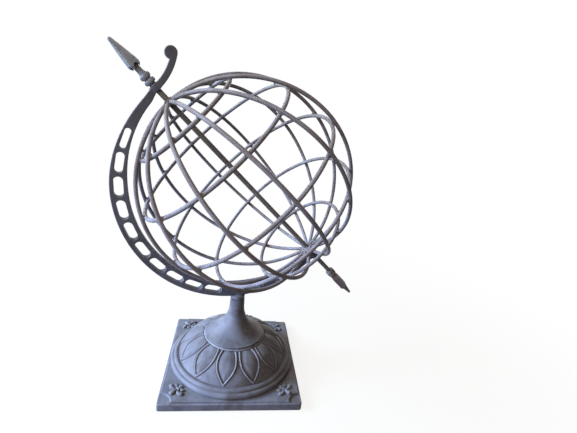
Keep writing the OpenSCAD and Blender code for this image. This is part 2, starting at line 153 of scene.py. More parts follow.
def rounded_rim(loop, face, radius, side, steps=4):
    """Rings from a wall round onto a flat face; side is 1 if the face looks up and -1 if it looks down."""
    rings = []
    for angle in np.linspace(0, math.pi / 2, steps + 1):
        depth = radius * (1 - math.cos(angle))
        rings.append(at_height(inset(loop, depth), face - side * radius * (1 - math.sin(angle))))
    return rings


def round_square(half, radius, corner_points=7):
    corners = [(1, 1, 0), (-1, 1, 90), (-1, -1, 180), (1, -1, 270)]
    return np.concatenate([
        arc((x * (half - radius), y * (half - radius)), radius, start, start + 90, corner_points)
        for x, y, start in corners
    ])


def wander(places, seed, waves=5):
    """Smooth unevenness between -1 and 1 along a row of places from 0 to 1, which joins up at its ends."""
    draw = np.random.RandomState(seed)
    total = np.zeros_like(places)
    for wave in range(1, waves + 1):
        strength = draw.uniform(0.4, 1) / wave
        total += strength * np.sin(TURN * (wave * places + draw.uniform()))
    return total / sum(1 / wave for wave in range(1, waves + 1))


def encloses(starts, ends, points):
    """Which points lie inside a region, by counting its edges to their right."""
    x, y = points[:, :1], points[:, 1:]
    spans = (starts[:, 1] > y) != (ends[:, 1] > y)
    rise = np.where(starts[:, 1] == ends[:, 1], 1, ends[:, 1] - starts[:, 1])
    meets = starts[:, 0] + (y - starts[:, 1]) * (ends[:, 0] - starts[:, 0]) / rise
    return (spans & (meets > x)).sum(1) % 2 == 1


# Closed meshes


class Casting:
    """The points and faces of one closed mesh, and the marks for its finish."""

    def __init__(self):
        self.points = np.empty((0, 3))
        self.faces = []
        self.marks = {}

    def grid(self, points, closed_rows=False):
        """Quads over rows of points, each row a closed ring; returns the points' numbers."""
        points = np.asarray(points)
        rows, columns = points.shape[:2]
        numbers = len(self.points) + np.arange(rows * columns).reshape(rows, columns)
        self.points = np.vstack((self.points, points.reshape(-1, 3)))
        here = numbers if closed_rows else numbers[:-1]
        following = np.roll(numbers, -1, 0) if closed_rows else numbers[1:]
        quads = np.stack((here, np.roll(here, -1, 1), np.roll(following, -1, 1), following), axis=-1)
        self.faces += quads.reshape(-1, 4).tolist()
        return numbers

    def flat(self, *rings):
        """Fills the flat face between an outer ring and the rings of its holes."""
        numbers = np.concatenate(rings)
        edges = []
        start = 0
        for ring in rings:
            edges += [(start + i, start + (i + 1) % len(ring)) for i in range(len(ring))]
            start += len(ring)
        corners = self.points[numbers, :2]
        found = delaunay_2d_cdt([Vector(corner) for corner in corners], edges, [], 0, 1e-7)
        source = np.array([origin[0] for origin in found[3]])
        triangles = source[np.array(found[2])]
        starts, ends = np.array(edges).T
        inside = encloses(corners[starts], corners[ends], corners[triangles].mean(1))
        self.faces += numbers[triangles[inside]].tolist()

    def cap(self, rows, first, last):
        """Closes the first and the last ring of a grid at a point each."""
        for ring, point in ((rows[0], first), (rows[-1], last)):
            tip = len(self.points)
            self.points = np.vstack((self.points, [point]))
            self.faces += [[int(a), int(b), tip] for a, b in zip(ring, np.roll(ring, -1))]


def round_edged(radius, low, high, edge, points):
    """Profile of a round bar's outside, from below to above, with rounded edges."""
    return np.concatenate((
        arc((radius - edge, low + edge), edge, -90, 0, points),
        arc((radius - edge, high - edge), edge, 0, 90, points),
    ))


def turned(profile, segments):
    """A profile of (radius, height) turned about the z axis, as a grid of points."""
    profile = np.asarray(profile)
    return around_axis(profile[:, :1], full_turn(segments), profile[:, 1:])


def lathed(profile, segments):
    """A closed profile turned into a casting with a bore."""
    casting = Casting()
    casting.grid(turned(profile, segments), closed_rows=True)
    return casting


def plug(profile, segments=64):
    """A turned shape that is closed at both ends on its axis."""
    casting = Casting()
    rows = casting.grid(turned(profile, segments))
    casting.cap(rows, (0, 0, profile[0][1]), (0, 0, profile[-1][1]))
    return casting


def new_object(name, data):
    """An object in the scene."""
    made = bpy.data.objects.new(name, data)
    bpy.context.scene.collection.objects.link(made)
    return made


def new_solid(name, casting, place):
    """An object with a casting's closed mesh, whose faces all look outwards."""
    mesh = bpy.data.meshes.new(name)
    mesh.from_pydata((place(casting.points) * MM).tolist(), [], casting.faces)
    shape = bmesh.new()
    shape.from_mesh(mesh)
    bmesh.ops.recalc_face_normals(shape, faces=shape.faces)
    shape.to_mesh(mesh)
    shape.free()
    return new_object(name, mesh)


def shade(piece, crease):
    """Shades a piece smooth, but for edges that turn by more than the crease, in degrees."""
    piece.data.shade_smooth()
    piece.data.set_sharp_from_angle(angle=math.radians(crease))


def add_piece(name, casting, place, body, finish, stands_for=(), crease=40):
    """Makes a casting a piece that rides on a body, in a finish, in place of CAD nodes."""
    piece = new_solid(name, casting, place)
    shade(piece, crease)
    piece.data.materials.append(finish)
    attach(piece, body)
    if stands_for:
        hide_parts(*stands_for)
    for mark_name, values in casting.marks.items():
        mark(piece, mark_name, values)
    return piece


def mark(piece, name, values):
    """Stores one number per point for the finish to read."""
    layer = piece.data.attributes.new(name, "FLOAT", "POINT")
    layer.data.foreach_set("value", np.asarray(values, np.float32).ravel())


def mark_edges(piece, outward, share):
    """Marks a casting's rounded edges paler, as wear and painted highlight, from how their normals lean off
    the flat faces.
    """
    normals = np.empty(3 * len(piece.data.vertices))
    piece.data.vertices.foreach_get("normal", normals)
    lean = np.abs(normals.reshape(-1, 3) @ outward)
    narrowing = 1.15
    mark(piece, "wear_and_highlight", share * ease(1 - np.abs(2 * lean - 1) * narrowing))


# Shader maths


class Value:
    """A shader socket that takes part in Python arithmetic: each operation adds one Math node."""

    def __init__(self, finish, socket):
        self.finish = finish
        self.socket = socket

    def math(self, operation, a, b):
        return self.finish.node("ShaderNodeMath", {"operation": operation}, {0: a, 1: b})

    def __add__(self, other):
        return self.math("ADD", self, other)

    def __sub__(self, other):
        return self.math("SUBTRACT", self, other)

    def __rsub__(self, other):
        return self.math("SUBTRACT", other, self)

    def __mul__(self, other):
        return self.math("MULTIPLY", self, other)

    __radd__ = __add__
    __rmul__ = __mul__


class Finish:
    """A material or world tree that is built node by node."""

    def __init__(self, owner):
        self.owner = owner
        owner.use_nodes = True
        self.tree = owner.node_tree
        self.tree.nodes.clear()

    def node(self, kind, settings=None, sockets=None, output=0):
        """Adds a node: its settings first, then the values or links of its sockets. Returns one output."""
        node = self.tree.nodes.new(kind)
        for name, value in (settings or {}).items():
            setattr(node, name, value)
        for name, value in (sockets or {}).items():
            if isinstance(value, Value):
                self.tree.links.new(value.socket, node.inputs[name])
            else:
                node.inputs[name].default_value = value
        return Value(self, node.outputs[output]) if node.outputs else None

    def noise(self, scale, detail=4, roughness=0.55):
        sockets = {"Vector": self.place(), "Scale": scale, "Detail": detail, "Roughness": roughness}
        return self.node("ShaderNodeTexNoise", None, sockets)

    def between(self, value, low, high, to_low=0.0, to_high=1.0):
        """A value spread softly from one range to another."""
        sockets = {"Value": value, "From Min": low, "From Max": high, "To Min": to_low, "To Max": to_high}
        return self.node("ShaderNodeMapRange", {"interpolation_type": "SMOOTHSTEP"}, sockets)

    def mix(self, share, a, b):
        """A colour between two colours."""
        return self.node("ShaderNodeMix", {"data_type": "RGBA"}, {0: share, 6: a, 7: b}, output=2)

    def marked(self, name):
        """The number that a piece stores at each point under a name, or 0."""
        return self.node("ShaderNodeAttribute", {"attribute_name": name}, output=2)

    def place(self):
        """The place on a piece, in metres, which patterns follow."""
        return self.node("ShaderNodeTexCoord", output=3)

    def bump(self, height, strength, depth):
        """A normal that follows a height; depth is in metres."""
        return self.node("ShaderNodeBump", None, {"Strength": strength, "Distance": depth, "Height": height})

    def surface(self, sockets):
        """Ends a material's tree in one shader, and returns the material."""
        shader = self.node("ShaderNodeBsdfPrincipled", None, sockets)
        self.node("ShaderNodeOutputMaterial", None, {"Surface": shader})
        return self.owner


# Finishes


def iron_finish(name, dark, pale, wear_and_highlight_tone, dust_and_shade_tone, roughness):
    """Cast iron under a dark coating: mottled, grained and stained; paler on edges and ridges as wear and
    painted highlight, darker in hollows and joints as dust and painted shade.
    """
    finish = Finish(bpy.data.materials.new(name))
    mottle = finish.between(finish.noise(scale=38.0), 0.32, 0.68)
    cloud = finish.between(finish.noise(scale=9.0, detail=2), 0.35, 0.65)
    grain = finish.noise(scale=1300.0, detail=3, roughness=0.6)
    pits = finish.between(finish.noise(scale=420.0, detail=2), 0.30, 0.42)
    stain = finish.between(finish.noise(scale=30.0, detail=7, roughness=0.74), 0.46, 0.64)
    speckle = finish.between(grain, 0.58, 0.72, to_low=0.0, to_high=0.12)
    patchy = finish.between(finish.noise(scale=150.0), 0.3, 0.62, to_low=0.35, to_high=1.0)
    # Paler marks are wear and painted highlight; darker marks are dust and painted shade.
    wear_and_highlight = finish.marked("wear_and_highlight") * patchy
    hollow = finish.marked("hollow")
    colour = finish.mix(mottle * 0.7 + cloud * 0.3, dark, pale)
    colour = finish.mix(wear_and_highlight, colour, wear_and_highlight_tone)
    colour = finish.mix(hollow * 0.75, colour, dust_and_shade_tone)
    colour = finish.mix(stain * 0.5, colour, dust_and_shade_tone)
    colour = finish.mix(speckle, colour, wear_and_highlight_tone)
    return finish.surface({
        "Base Color": colour,
        "Roughness": roughness + mottle * 0.1 + hollow * 0.15 - wear_and_highlight * 0.08,
        "Specular IOR Level": 0.06,
        "Normal": finish.bump(grain * 0.35 + pits * 0.65, strength=0.2, depth=0.00025),
    })


def bar_finish(name, dark, pale, brown):
    """Round bar under a thin coating: slightly wavy, cloudy, brown where the coating has gone."""
    finish = Finish(bpy.data.materials.new(name))
    cloud = finish.between(finish.noise(scale=26.0), 0.3, 0.7)
    stain = finish.between(finish.noise(scale=70.0, detail=5), 0.56, 0.7)
    grain = finish.noise(scale=900.0, detail=3)
    waves = finish.noise(scale=140.0, detail=1)
    colour = finish.mix(cloud, dark, pale)
    return finish.surface({
        "Base Color": finish.mix(stain * 0.35, colour, brown),
        "Roughness": 0.44 + stain * 0.2 + grain * 0.06,
        "Specular IOR Level": 0.08,
        "Normal": finish.bump(waves, strength=0.08, depth=0.0003),
    })


def weld_finish(name):
    """Weld metal: dark scale with a brown bloom."""
    finish = Finish(bpy.data.materials.new(name))
    bloom = finish.between(finish.noise(scale=180.0), 0.4, 0.65)
    lumps = finish.noise(scale=500.0, detail=3)
    return finish.surface({
        "Base Color": finish.mix(bloom, (0.1, 0.099, 0.113, 1), (0.17, 0.148, 0.14, 1)),
        "Roughness": 0.52 + bloom * 0.16,
        "Metallic": 0.2,
        "Normal": finish.bump(lumps, strength=0.5, depth=0.0004),
    })


def steel_finish(name):
    """Plain turned steel with fine marks and dull patches."""
    finish = Finish(bpy.data.materials.new(name))
    dull = finish.between(finish.noise(scale=160.0), 0.35, 0.7)
    marks = finish.noise(scale=2600.0, detail=2)
    return finish.surface({
        "Base Color": finish.mix(dull, (0.5, 0.5, 0.51, 1), (0.32, 0.31, 0.3, 1)),
        "Roughness": 0.34 + dull * 0.2,
        "Metallic": 1.0,
        "Normal": finish.bump(marks, strength=0.2, depth=0.0001),
    })


base_iron = iron_finish(
    "base_iron", dark=(0.15, 0.144, 0.151, 1), pale=(0.216, 0.208, 0.216, 1),
    wear_and_highlight_tone=(0.36, 0.355, 0.37, 1), dust_and_shade_tone=(0.08, 0.058, 0.045, 1), roughness=0.34,
)
arm_iron = iron_finish(
    "arm_iron", dark=(0.131, 0.137, 0.16, 1), pale=(0.187, 0.195, 0.228, 1),
    wear_and_highlight_tone=(0.34, 0.355, 0.4, 1), dust_and_shade_tone=(0.08, 0.078, 0.084, 1), roughness=0.36,
)
# Painted light: the head is a paler copy of the iron, and its near-white worn tone paints highlights on the
# blade edges.
head_iron_with_painted_light = iron_finish(
    "head_iron_with_painted_light", dark=(0.355, 0.395, 0.45, 1), pale=(0.48, 0.535, 0.61, 1),
    wear_and_highlight_tone=(0.84, 0.86, 0.89, 1), dust_and_shade_tone=(0.08, 0.066, 0.058, 1), roughness=0.38,
)
# Painted light: the tail's brown rust tone is made paler than the other iron, and its worn tone paints
# highlights on its edges.
tail_iron_with_painted_light = iron_finish(
    "tail_iron_with_painted_light", dark=(0.27, 0.218, 0.2, 1), pale=(0.39, 0.32, 0.298, 1),
    wear_and_highlight_tone=(0.58, 0.55, 0.54, 1), dust_and_shade_tone=(0.09, 0.066, 0.056, 1), roughness=0.4,
)
bar_coat = bar_finish(
    "bar_coat", dark=(0.236, 0.198, 0.196, 1), pale=(0.33, 0.318, 0.345, 1), brown=(0.14, 0.1, 0.084, 1)
)
shaft_coat = bar_finish(
    "shaft_coat", dark=(0.195, 0.182, 0.166, 1), pale=(0.3, 0.28, 0.256, 1), brown=(0.16, 0.122, 0.096, 1)
)
weld_scale = weld_finish("weld_scale")
bright_steel = steel_finish("bright_steel")

# Plinth and its corner lilies

plinth_half = half_width("plinth")
panel_top = lowest("petal_dome")
slab_h = 13.0
slab_corner_r = 4.0
slab_edge = 1.4
slab_foot_edge = 0.6
slab_border = 3.0
panel_half = plinth_half - slab_border
panel_edge = 0.9
panel_fillet = 0.6
rim_margin = 0.6
bite_r = 18.0
recess_border = 15.0
recess_r = plinth_half - recess_border
recess_h = 8.0
pad_r = 22.0


def panel_loop(side_points=30, bite_points=22):
    """The raised panel's outline: a square with a round bite at each corner."""
    straight = np.linspace(0, 1, side_points)[1:-1, None]
    start = np.array((-panel_half + bite_r, -panel_half))
    end = np.array((panel_half - bite_r, -panel_half))
    bite = arc((panel_half, -panel_half), bite_r, 180, 90, bite_points)
    side = np.vstack((start + (end - start) * straight, bite))
    quarters = [(1, 0), (0, 1), (-1, 0), (0, -1)]
    return np.concatenate([side @ np.array(((c, s), (-s, c))) for c, s in quarters])


def plinth_casting():
    """The slab and its panel, with a round recess underneath and a pad in the middle of that."""
    casting = Casting()
    slab = round_square(plinth_half, slab_corner_r)
    panel = panel_loop()
    circle = np.linspace(360, 0, 96, endpoint=False)
    outside = casting.grid(
        rounded_rim(slab, 0, slab_foot_edge, -1)[::-1]
        + rounded_rim(slab, slab_h, slab_edge, 1)
        + [at_height(inset(slab, slab_edge + rim_margin), slab_h)]
    )
    fillet_middle = 0.2 * panel_fillet
    step = casting.grid(
        [at_height(inset(panel, -panel_fillet), slab_h)]
        + [at_height(inset(panel, -fillet_middle), slab_h + fillet_middle)]
        + [at_height(panel, slab_h + panel_fillet)]
        + rounded_rim(panel, panel_top, panel_edge, 1)
        + [at_height(inset(panel, panel_edge + rim_margin), panel_top)]
    )
    casting.flat(outside[-1], step[0])
    casting.flat(step[-1])
    recess = casting.grid([at_height(polar(recess_r, circle), z) for z in (0, recess_h)])
    pad = casting.grid([at_height(polar(pad_r, circle), z) for z in (recess_h, 0)])
    casting.flat(outside[0], recess[0])
    casting.flat(recess[1], pad[0])
    casting.flat(pad[1])
    return casting


plinth = add_piece(
    "plinth_casting", plinth_casting(), upright, "base", base_iron, ["plinth"], crease=50
)
# Rounded edges paler: wear and painted highlight.
mark_edges(plinth, up, 0.8)

rim_r = half_width("petal_dome")
lily_margin = 1.5
lily_from = rim_r + lily_margin
lily_l = panel_half * math.sqrt(2) - bite_r - lily_margin - lily_from
lily_relief = 1.5 * (highest("plinth") - panel_top)
lily_band = lily_from + 0.4 * lily_l
relief_sink = 0.8
# A lily's leaves: root along and across from its band, length and width, as shares of the lily's length,
# height as a share of its relief, heading and bend in degrees, and the tip's share of the width
lily_leaves = [
    (0, 0, 0.57, 0.29, 1.0, 0, 0, 1.0),
    (0, 0, 0.38, 0.24, 0.9, 180, 0, 1.1),
    (0.04, -0.07, 0.58, 0.23, 0.95, -40, -125, 1.2),
    (-0.04, -0.07, 0.36, 0.22, 0.85, 228, 70, 1.2),
    (0.04, 0.07, 0.58, 0.23, 0.95, 40, 125, 1.2),
    (-0.04, 0.07, 0.36, 0.22, 0.85, 132, -70, 1.2),
    (0, -0.19, 0.38, 0.15, 1.08, 90, 0, 0.62),
]


def leaf(casting, root, length, width, height, heading, bend, tip):
    """A plump leaf on the panel from a root point, which may bend; tip is its end's share of the width."""
    root_width = 0.62
    root_height = 0.72
    edge = 0.05
    end_height = 0.15
    along = np.linspace(0, 1, 26)
    across = np.linspace(0, math.pi, 13)
    turn = np.radians(heading) + np.radians(bend) * along ** 1.3
    step = length * np.diff(along, prepend=0)[:, None]
    spine = np.asarray(root) + np.cumsum(np.column_stack((np.cos(turn), np.sin(turn))) * step, axis=0)
    swell = root_width + (tip - root_width) * ease(along / 0.75)
    ends = np.sqrt(np.clip(1 - (2 * along - 1) ** 8, 0, 1))
    half = width / 2 * swell * ends + edge
    crown = height * (root_height + (1 - root_height) * ease(along / 0.6)) * np.maximum(ends, end_height)
    rings = []
    for point, angle, side, rise in zip(spine, turn, half, crown):
        sideways = np.array((-math.sin(angle), math.cos(angle)))
        top = point + np.cos(across)[:, None] * side * sideways
        rings.append(np.vstack((
            np.column_stack((top, panel_top + rise * np.sin(across) ** 0.7)),
            np.column_stack((top[::-1], np.full(len(top), panel_top - relief_sink))),
        )))
    casting.cap(casting.grid(rings), rings[0].mean(0), rings[-1].mean(0))


def lily(diagonal):
    """Traditional lily along a diagonal of the panel: leaves that spread from a band, short ones behind."""
    casting = Casting()
    for along, across, length, width, height, heading, bend, tip in lily_leaves:
        root = (lily_band + along * lily_l, across * lily_l)
        leaf(casting, root, length * lily_l, width * lily_l, height * lily_relief, heading, bend, tip)
    c = math.cos(math.radians(diagonal))
    s = math.sin(math.radians(diagonal))
    casting.points = casting.points @ np.array(((c, s, 0), (-s, c, 0), (0, 0, 1)))
    rise = (casting.points[:, 2] - panel_top) / lily_relief
    # Leaf tops paler as wear and painted highlight; low parts darker as dust and painted shade.
    casting.marks = {"wear_and_highlight": 0.35 * ease((rise - 0.6) / 0.4), "hollow": ease((0.4 - rise) / 0.4)}
    return casting


for number, diagonal in enumerate((45, 135, 225, 315), 1):
    add_piece(f"corner_lily_{number}", lily(diagonal), upright, "base", base_iron)

# Petalled dome

dome_top = lowest("stem")
stem_foot_r = half_width("stem")
rim_w = 14.9
rim_h = 13.6
rim_low_r = 5.0
rim_high_r = 4.5
bead_r = 2.2
bead_out = 2.4
dome_bulge = 6.0
dome_wall = 5.0
hollow_top = 62.0
bolt_hole_r = 4.1
petal_count = 12
petal_turn = -98.7
petal_w = 15.8
petal_waist = 5.5
petal_broad = 0.42
petal_tip = 0.965
ridge_h = 1.7
ridge_half = 1.75
groove_h = 0.4
groove_half = 0.7
groove_out = 1.35 * ridge_half
pillow_h = 1.3
pillow_from = 1.2 * ridge_half
pillow_l = 0.55 * petal_w
relief_fade_low = 0.02
relief_fade_high = 0.025
# Shares of wear and painted highlight on ridges and bead, and of dust and painted shade at the rim and under
# the stem's foot.
ridge_wear_and_highlight = 0.3
bead_wear_and_highlight = 0.6
rim_dust_and_shade = 0.4
bead_dust_and_shade = 0.8
dome_foot = np.array((rim_r - rim_w, panel_top + rim_h))
dome_head = np.array((stem_foot_r + bead_out, dome_top - bead_r))
dome_chord = np.linalg.norm(dome_head - dome_foot)
dome_arc_r = dome_chord ** 2 / (8 * dome_bulge) + dome_bulge / 2
dome_inward = np.array((dome_foot[1] - dome_head[1], dome_head[0] - dome_foot[0])) / dome_chord
dome_centre = (dome_foot + dome_head) / 2 + dome_inward * (dome_arc_r - dome_bulge)
dome_side_l = 2 * dome_arc_r * math.asin(dome_chord / (2 * dome_arc_r))


def arc_angle(point):
    away = np.asarray(point) - dome_centre
    return math.degrees(math.atan2(away[1], away[0]))


def petal_half(share):
    """Half width of a petal from its root, share 0, by its broad middle to its tip."""
    above = np.clip((petal_broad - share) / petal_broad, 0, 1)
    below = np.clip((share - petal_broad) / (petal_tip - petal_broad), 0, 1)
    to_root = petal_w - petal_waist * above ** 2
    return np.where(share < petal_broad, to_root, petal_w * np.cos(math.pi / 2 * below))


def petal_relief(share, radius, angle):
    """Height of the lotus relief over the dome, and where its ridges and its grooves are."""
    sector = TURN / petal_count
    off_axis = (angle - math.radians(petal_turn) + sector / 2) % sector - sector / 2
    step = 0.002
    slope = (petal_half(share + step) - petal_half(share - step)) / (2 * step * dome_side_l)
    inward = (petal_half(share) - radius * np.abs(off_axis)) / np.hypot(1, slope)
    past_tip = np.clip(share - petal_tip, 0, 1) * dome_side_l
    inward = np.where(past_tip > 0, -np.hypot(past_tip, radius * off_axis), inward)
    ridge = np.clip(1 - (inward / ridge_half) ** 2, 0, 1) ** 0.8
    groove = np.exp(-((np.abs(inward) - groove_out) / groove_half) ** 2)
    pillow = ease((inward - pillow_from) / pillow_l)
    return ridge_h * ridge + pillow_h * pillow - groove_h * groove, ridge, groove


def dome_casting(segments=720):
    """The dome's closed profile turned round, with the petals raised on its side."""
    low = np.array((rim_r - rim_low_r, panel_top + 0.8 * rim_low_r))
    high = dome_foot + (rim_high_r, -rim_high_r)
    rim_low = arc(low, rim_low_r, -53, 97, 20)
    rim_groove = dome_foot + [(1.2, -0.75), (0.7, -0.75), (0.25, -0.5)]
    rim = np.concatenate((rim_low, arc(high, rim_high_r, 3, 120, 18), rim_groove))
    side_angles = np.linspace(arc_angle(dome_foot) - 0.4, arc_angle(dome_head), 110)
    side = dome_centre + polar(dome_arc_r, side_angles)
    bead = arc((dome_head[0] - bead_r, dome_head[1]), bead_r, -12, 90, 12)
    hollow_r = dome_arc_r - dome_wall
    hollow_z = np.array((hollow_top, panel_top)) - dome_centre[1]
    hollow_to, hollow_from = np.degrees(np.arcsin(hollow_z / hollow_r))
    inside = np.concatenate((
        [(bolt_hole_r, dome_top), (bolt_hole_r, hollow_top)],
        arc(dome_centre, hollow_r, hollow_to, hollow_from, 16),
    ))
    grid = turned(np.concatenate((rim, side, bead, inside)), segments)
    angle = full_turn(segments)
    place = np.linspace(0, 1, len(side))[:, None]
    height, ridge, groove = petal_relief(1 - place, side[:, :1], angle)
    fade = ease(place / relief_fade_low) * ease((1 - place) / relief_fade_high)
    lift = height * fade
    outward = polar(1, side_angles)
    side_row = len(rim)
    bead_row = side_row + len(side)
    grid[side_row:bead_row] += around_axis(lift * outward[:, :1], angle, lift * outward[:, 1:])
    # Wear and painted highlight: paler ridges and bead top.
    wear_and_highlight = np.zeros(grid.shape[:2])
    wear_and_highlight[side_row:bead_row] = ridge_wear_and_highlight * ridge * fade
    wear_and_highlight[bead_row + 4:bead_row + 10] = bead_wear_and_highlight
    # Dust and painted shade: darker grooves, rim joints, and the band under the stem's foot.
    hollow = np.zeros(grid.shape[:2])
    hollow[side_row:bead_row] = groove * fade
    hollow[side_row - 3:side_row + 2] = rim_dust_and_shade
    hollow[len(rim_low) - 2:len(rim_low) + 2] = rim_dust_and_shade
    hollow[bead_row - 3:bead_row + 1] = bead_dust_and_shade
    casting = Casting()
    casting.grid(grid, closed_rows=True)
    casting.marks = {"wear_and_highlight": wear_and_highlight, "hollow": hollow}
    return casting


add_piece("petal_dome_casting", dome_casting(), upright, "base", base_iron, ["petal_dome"], crease=60)

# Stem

stem_top = highest("stem")
stem_top_r = 12.4
stem_top_edge = 0.6
stem_neck_r = 13.0
stem_lip = 0.7
flare_r = 57.0
stem_wall = 6.0
stem_boss_r = 11.0
pivot_hole_r = 4.05
neck_rise = 2.0
# Heights of the darker bands, dust and painted shade, at the stem's foot and top.
foot_dust_and_shade_h = 3.0
top_dust_and_shade_h = 2.5


def stem_casting():
    """A trumpet, hollow under its flare, with a bore up its middle."""
    flare = np.array((stem_neck_r + flare_r, dome_top + flare_r))
    foot = math.degrees(math.acos((flare[0] - stem_foot_r + stem_lip) / flare_r))
    foot_top = flare[1] - flare_r * math.sin(math.radians(foot))
    hollow_r = flare_r + stem_wall
    hollow_z = dome_top + flare_r / 2
    hollow_end = 180 + math.degrees(math.asin((flare[1] - hollow_z) / hollow_r))
    hollow_start = 180 + math.degrees(math.asin(flare_r / hollow_r))
    shoulder = stem_top - stem_top_edge
    casting = lathed(np.concatenate((
        [(stem_foot_r, dome_top)],
        arc((stem_foot_r - stem_lip, foot_top - stem_lip), stem_lip, 0, 60, 5),
        arc(flare, flare_r, 180 + foot, 180, 60),
        np.linspace((stem_neck_r, flare[1] + neck_rise), (stem_top_r, shoulder), 10),
        arc((stem_top_r - stem_top_edge, shoulder), stem_top_edge, 20, 90, 4),
        [(pivot_hole_r, stem_top), (pivot_hole_r, dome_top)],
        [(stem_boss_r, dome_top), (stem_boss_r, hollow_z)],
        arc(flare, hollow_r, hollow_end, hollow_start, 14),
    )), 128)
    # Dust and painted shade: darker where the stem meets the dome and under the arm's foot.
    height = casting.points[:, 2]
    foot_dust_and_shade = 0.7 * ease((dome_top + foot_dust_and_shade_h - height) / foot_dust_and_shade_h)
    top_dust_and_shade = 0.5 * ease((height - stem_top + top_dust_and_shade_h) / top_dust_and_shade_h)
    casting.marks = {"hollow": foot_dust_and_shade + top_dust_and_shade}
    return casting


add_piece("stem_casting", stem_casting(), upright, "base", base_iron, ["stem"], crease=45)

# Arm

arm_r = 189.5
arm_w = 24.4
arm_end_w = 11.0
arm_t = 12.0
arm_taper = 48.0
arm_tip = 2.0
arm_close = 6.0
close_from = 87.0
slot_rail = 5.6
slot_end_rail = 3.2
slot_web = 4.7
slot_pitch = 10.5
slot_first = 161.5
slot_places = 14
slot_solid = 10
hook_r = 87.5
hook_sweep = 34.5
hook_step = 3.0
hook_w = 8.8
hook_blend = 6.0
scroll_r = 8.55
boss_r = 8.0
boss_edge = 1.0
arm_edge = 1.2
slot_edge = 0.8
flat_margin = 0.25
axis_tilt = math.degrees(math.asin(north[2]))
arm_from = 180 - axis_tilt
arm_to = arm_from + 180
shaft_hole_r = 4.1


def arm_mid(a):
    return arm_r - arm_close * ease((a - arm_from - close_from) / (180 - close_from))


def arm_swell(a):
    return ease((a - arm_from - arm_tip) / arm_taper) * ease((arm_to - arm_tip - a) / arm_taper)


def arm_half(a):
    return (arm_end_w + (arm_w - arm_end_w) * arm_swell(a)) / 2


def arm_loop():
    """The arm's outline: its outer edge, round lower end, inner edge, and the hook with its scroll."""
    angles = np.linspace(arm_from, arm_to, 121)
    blend = 1 - ease((angles - arm_from) / hook_blend)
    root_out = hook_step + hook_w / 2 - arm_end_w / 2
    root_in = hook_step - hook_w / 2 + arm_end_w / 2
    outer = polar(arm_mid(angles) + arm_half(angles) + root_out * blend, angles)
    inner = polar(arm_mid(angles) - arm_half(angles) + root_in * blend, angles)
    end = arc(polar(arm_mid(arm_to), arm_to), arm_end_w / 2, arm_to, arm_to + 180, 13)[1:-1]
    centre = polar(arm_r + hook_step + hook_r, arm_from)
    hook_from = arm_from + 180
    hook_to = hook_from + hook_sweep
    globe_side = hook_r + hook_w / 2
    head_side = hook_r - hook_w / 2
    scroll_out = globe_side - scroll_r
    meet = (head_side ** 2 - scroll_out ** 2 - scroll_r ** 2) / (2 * scroll_out * scroll_r)
    scroll_sweep = 360 - math.degrees(math.acos(meet))
    scroll = arc(centre + polar(scroll_out, hook_to), scroll_r, hook_to, hook_to + scroll_sweep, 44)
    notch = scroll[-1] - centre
    notch_angle = math.degrees(math.atan2(notch[1], notch[0])) % 360
    near = arc(centre, globe_side, hook_from, hook_to, 34)[1:-1]
    far = arc(centre, head_side, notch_angle, hook_from, 30)[1:-1]
    return np.concatenate((outer, end, inner[::-1], near, scroll, far))


def slot_loop(a):
    """A round-ended slot across the arm's middle, clockwise so that the material is on its left."""
    width = 2 * (arm_half(a) - slot_end_rail - (slot_rail - slot_end_rail) * arm_swell(a))
    length = 2 * arm_mid(a) * math.sin(math.radians(slot_pitch / 2)) - slot_web
    reach = (length - width) / 2
    straight = reach * np.linspace(-1, 1, 7)[1:-1, None]
    loop = np.concatenate((
        arc((reach, 0), width / 2, -90, 90, 15),
        straight[::-1] * (1, 0) + (0, width / 2),
        arc((-reach, 0), width / 2, 90, 270, 15),
        straight * (1, 0) - (0, width / 2),
    ))
    ahead = polar(1, a + 90)
    aside = polar(1, a + 180)
    return (polar(arm_mid(a), a) + loop[:, :1] * ahead + loop[:, 1:] * aside)[::-1]


def arm_plate():
    """The pierced bar with the hook: every edge rounded, front and back alike."""
    casting = Casting()
    loops = [(arm_loop(), arm_edge)]
    for place in range(slot_places):
        if place != slot_solid:
            loops.append((slot_loop(slot_first + place * slot_pitch), slot_edge))
    faces = {-1: [], 1: []}
    for loop, edge in loops:
        low = rounded_rim(loop, -arm_t / 2, edge, -1)[::-1]
        high = rounded_rim(loop, arm_t / 2, edge, 1)
        flat = inset(loop, edge + flat_margin)
        walls = casting.grid([at_height(flat, -arm_t / 2)] + low + high + [at_height(flat, arm_t / 2)])
        faces[-1].append(walls[0])
        faces[1].append(walls[-1])
    for rings in faces.values():
        casting.flat(*rings)
    return casting


def carve(piece, steps):
    """Joins shapes to a piece and cuts shapes out of it, by rows of operation, name, casting and place."""
    tools = []
    for operation, name, casting, place in steps:
        tool = new_solid(name, casting, place)
        change = piece.modifiers.new(name, "BOOLEAN")
        change.operation = operation
        change.object = tool
        change.solver = "EXACT"
        tools.append(tool)
    bpy.context.view_layer.update()
    result = bpy.data.meshes.new_from_object(piece.evaluated_get(bpy.context.evaluated_depsgraph_get()))
    piece.modifiers.clear()
    old = piece.data
    piece.data = result
    bpy.data.meshes.remove(old)
    for tool in tools:
        bpy.data.objects.remove(tool)


def bored(radius, low, high):
    return plug([(radius, low), (radius, high)])


def boss(radius, low, high):
    return plug(round_edged(radius, low, high, boss_edge, 5))


